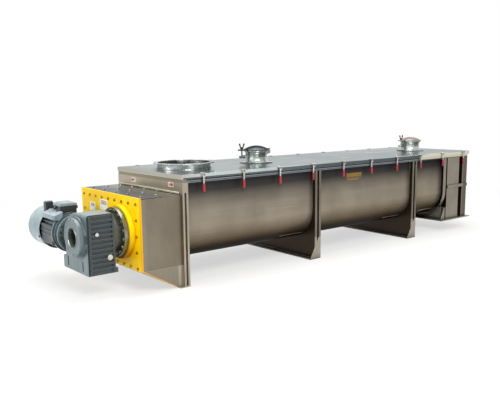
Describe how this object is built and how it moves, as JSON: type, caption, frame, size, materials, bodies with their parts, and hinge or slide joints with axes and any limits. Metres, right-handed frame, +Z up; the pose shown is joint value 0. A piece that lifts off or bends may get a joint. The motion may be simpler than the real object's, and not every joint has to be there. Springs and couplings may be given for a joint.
{
  "type": "double shaft paddle mixer",
  "caption": "Long twin-trough paddle mixer with a clamped lid, a round feed inlet, hinged manways, a gear case with ring, and a right-angle gear motor.",
  "frame": {"origin": "centre of the rectangle of foot bolts, at floor level, midway between the two rotors", "axes": "+X along the trough from the drive end to the tail, +Y across to the motor's side, +Z up"},
  "size_m": [5.891, 1.54, 1.3326],
  "materials": {
    "stainless_sheet": "satin",
    "stainless_frame": "satin",
    "stainless_case": "satin",
    "dark_cover": "satin",
    "yellow_paint": "gloss",
    "drive_paint": "satin",
    "machined_steel": "satin",
    "paddle_steel": "satin",
    "gear_steel": "oiled",
    "cast_housing": "matt",
    "polished_steel": "polished",
    "bolt_steel": "satin",
    "seal_rubber": "matt",
    "clamp_red": "gloss"
  },
  "bodies": {
    "trough": {"trough_shell": "stainless_sheet", "drive_end_plate": "stainless_sheet", "tail_end_plate": "stainless_sheet", "drive_support_frame": "stainless_frame", "middle_support_frame": "stainless_frame", "rear_support_frame": "stainless_frame", "discharge_chute": "stainless_sheet", "tail_bearing_frame": "stainless_sheet", "trough_rim": "stainless_sheet", "lid": "stainless_sheet", "lid_gasket": "seal_rubber", "inlet_collar": "stainless_sheet", "front_manway_neck": "polished_steel", "rear_manway_neck": "polished_steel", "gear_case": "stainless_case", "gear_case_cover": "dark_cover", "gear_case_plate": "yellow_paint", "drive_ring": "yellow_paint", "drive_bolts": "bolt_steel", "gear_unit_housing": "drive_paint", "gear_unit_flange": "machined_steel", "motor_adapter": "drive_paint", "motor_frame": "drive_paint", "terminal_boxes": "drive_paint", "fan_cowl": "drive_paint", "shaft_bearings": "cast_housing", "shaft_seals": "cast_housing", "clamp_brackets": "polished_steel"},
    "near_rotor": {"near_rotor_shaft": "machined_steel", "near_rotor_paddles": "paddle_steel", "near_sync_gear": "gear_steel", "output_sleeve": "machined_steel"},
    "far_rotor": {"far_rotor_shaft": "machined_steel", "far_rotor_paddles": "paddle_steel", "far_sync_gear": "gear_steel"},
    "motor_rotor": {"motor_rotor": "machined_steel"},
    "front_cover": {"front_manway_cover": "polished_steel"},
    "rear_cover": {"rear_manway_cover": "polished_steel"},
    "front_wing_nut": {"front_wing_nut": "polished_steel"},
    "rear_wing_nut": {"rear_wing_nut": "polished_steel"},
    "clamp_lever_near_01": {"clamp_lever_near_01": "clamp_red"},
    "clamp_lever_far_01": {"clamp_lever_far_01": "clamp_red"},
    "clamp_lever_near_02": {"clamp_lever_near_02": "clamp_red"},
    "clamp_lever_far_02": {"clamp_lever_far_02": "clamp_red"},
    "clamp_lever_near_03": {"clamp_lever_near_03": "clamp_red"},
    "clamp_lever_far_03": {"clamp_lever_far_03": "clamp_red"},
    "clamp_lever_near_04": {"clamp_lever_near_04": "clamp_red"},
    "clamp_lever_far_04": {"clamp_lever_far_04": "clamp_red"},
    "clamp_lever_near_05": {"clamp_lever_near_05": "clamp_red"},
    "clamp_lever_far_05": {"clamp_lever_far_05": "clamp_red"},
    "clamp_lever_near_06": {"clamp_lever_near_06": "clamp_red"},
    "clamp_lever_far_06": {"clamp_lever_far_06": "clamp_red"},
    "clamp_lever_near_07": {"clamp_lever_near_07": "clamp_red"},
    "clamp_lever_far_07": {"clamp_lever_far_07": "clamp_red"},
    "clamp_lever_near_08": {"clamp_lever_near_08": "clamp_red"},
    "clamp_lever_far_08": {"clamp_lever_far_08": "clamp_red"},
    "clamp_lever_near_09": {"clamp_lever_near_09": "clamp_red"},
    "clamp_lever_far_09": {"clamp_lever_far_09": "clamp_red"},
    "clamp_lever_near_10": {"clamp_lever_near_10": "clamp_red"},
    "clamp_lever_far_10": {"clamp_lever_far_10": "clamp_red"}
  },
  "joints": [
    {"name": "near_rotor_spin", "type": "hinge", "parent": "trough", "child": "near_rotor", "pos_m": [0, -0.26, 0.568], "axis": [1, 0, 0], "continuous": true},
    {"name": "far_rotor_spin", "type": "hinge", "parent": "trough", "child": "far_rotor", "pos_m": [0, 0.26, 0.568], "axis": [1, 0, 0], "continuous": true},
    {"name": "motor_spin", "type": "hinge", "parent": "trough", "child": "motor_rotor", "pos_m": [-2.594, 0.4, 0.528], "axis": [0, 1, 0], "continuous": true},
    {"name": "front_cover_hinge", "type": "hinge", "parent": "trough", "child": "front_cover", "pos_m": [-0.59, 0, 1.175], "axis": [0, -1, 0], "range_deg": [0, 95]},
    {"name": "front_nut_spin", "type": "hinge", "parent": "front_cover", "child": "front_wing_nut", "pos_m": [-0.59, 0, 1.28], "axis": [0, 0, 1], "continuous": true},
    {"name": "rear_cover_hinge", "type": "hinge", "parent": "trough", "child": "rear_cover", "pos_m": [2.345, 0, 1.175], "axis": [0, -1, 0], "range_deg": [0, 95]},
    {"name": "rear_nut_spin", "type": "hinge", "parent": "rear_cover", "child": "rear_wing_nut", "pos_m": [2.345, 0, 1.28], "axis": [0, 0, 1], "continuous": true},
    {"name": "clamp_near_01", "type": "hinge", "parent": "trough", "child": "clamp_lever_near_01", "pos_m": [-1.59, -0.663, 1.078], "axis": [-1, 0, 0], "range_deg": [0, 150]},
    {"name": "clamp_far_01", "type": "hinge", "parent": "trough", "child": "clamp_lever_far_01", "pos_m": [-1.59, 0.663, 1.078], "axis": [1, 0, 0], "range_deg": [0, 150]},
    {"name": "clamp_near_02", "type": "hinge", "parent": "trough", "child": "clamp_lever_near_02", "pos_m": [-1.09, -0.663, 1.078], "axis": [-1, 0, 0], "range_deg": [0, 150]},
    {"name": "clamp_far_02", "type": "hinge", "parent": "trough", "child": "clamp_lever_far_02", "pos_m": [-1.09, 0.663, 1.078], "axis": [1, 0, 0], "range_deg": [0, 150]},
    {"name": "clamp_near_03", "type": "hinge", "parent": "trough", "child": "clamp_lever_near_03", "pos_m": [-0.59, -0.663, 1.078], "axis": [-1, 0, 0], "range_deg": [0, 150]},
    {"name": "clamp_far_03", "type": "hinge", "parent": "trough", "child": "clamp_lever_far_03", "pos_m": [-0.59, 0.663, 1.078], "axis": [1, 0, 0], "range_deg": [0, 150]},
    {"name": "clamp_near_04", "type": "hinge", "parent": "trough", "child": "clamp_lever_near_04", "pos_m": [-0.09, -0.663, 1.078], "axis": [-1, 0, 0], "range_deg": [0, 150]},
    {"name": "clamp_far_04", "type": "hinge", "parent": "trough", "child": "clamp_lever_far_04", "pos_m": [-0.09, 0.663, 1.078], "axis": [1, 0, 0], "range_deg": [0, 150]},
    {"name": "clamp_near_05", "type": "hinge", "parent": "trough", "child": "clamp_lever_near_05", "pos_m": [0.41, -0.663, 1.078], "axis": [-1, 0, 0], "range_deg": [0, 150]},
    {"name": "clamp_far_05", "type": "hinge", "parent": "trough", "child": "clamp_lever_far_05", "pos_m": [0.41, 0.663, 1.078], "axis": [1, 0, 0], "range_deg": [0, 150]},
    {"name": "clamp_near_06", "type": "hinge", "parent": "trough", "child": "clamp_lever_near_06", "pos_m": [0.91, -0.663, 1.078], "axis": [-1, 0, 0], "range_deg": [0, 150]},
    {"name": "clamp_far_06", "type": "hinge", "parent": "trough", "child": "clamp_lever_far_06", "pos_m": [0.91, 0.663, 1.078], "axis": [1, 0, 0], "range_deg": [0, 150]},
    {"name": "clamp_near_07", "type": "hinge", "parent": "trough", "child": "clamp_lever_near_07", "pos_m": [1.41, -0.663, 1.078], "axis": [-1, 0, 0], "range_deg": [0, 150]},
    {"name": "clamp_far_07", "type": "hinge", "parent": "trough", "child": "clamp_lever_far_07", "pos_m": [1.41, 0.663, 1.078], "axis": [1, 0, 0], "range_deg": [0, 150]},
    {"name": "clamp_near_08", "type": "hinge", "parent": "trough", "child": "clamp_lever_near_08", "pos_m": [1.91, -0.663, 1.078], "axis": [-1, 0, 0], "range_deg": [0, 150]},
    {"name": "clamp_far_08", "type": "hinge", "parent": "trough", "child": "clamp_lever_far_08", "pos_m": [1.91, 0.663, 1.078], "axis": [1, 0, 0], "range_deg": [0, 150]},
    {"name": "clamp_near_09", "type": "hinge", "parent": "trough", "child": "clamp_lever_near_09", "pos_m": [2.41, -0.663, 1.078], "axis": [-1, 0, 0], "range_deg": [0, 150]},
    {"name": "clamp_far_09", "type": "hinge", "parent": "trough", "child": "clamp_lever_far_09", "pos_m": [2.41, 0.663, 1.078], "axis": [1, 0, 0], "range_deg": [0, 150]},
    {"name": "clamp_near_10", "type": "hinge", "parent": "trough", "child": "clamp_lever_near_10", "pos_m": [2.91, -0.663, 1.078], "axis": [-1, 0, 0], "range_deg": [0, 150]},
    {"name": "clamp_far_10", "type": "hinge", "parent": "trough", "child": "clamp_lever_far_10", "pos_m": [2.91, 0.663, 1.078], "axis": [1, 0, 0], "range_deg": [0, 150]}
  ],
  "couplings": [
    {"joint": "far_rotor_spin", "follows": "near_rotor_spin", "ratio": -1},
    {"joint": "motor_spin", "follows": "near_rotor_spin", "ratio": 35}
  ]
}
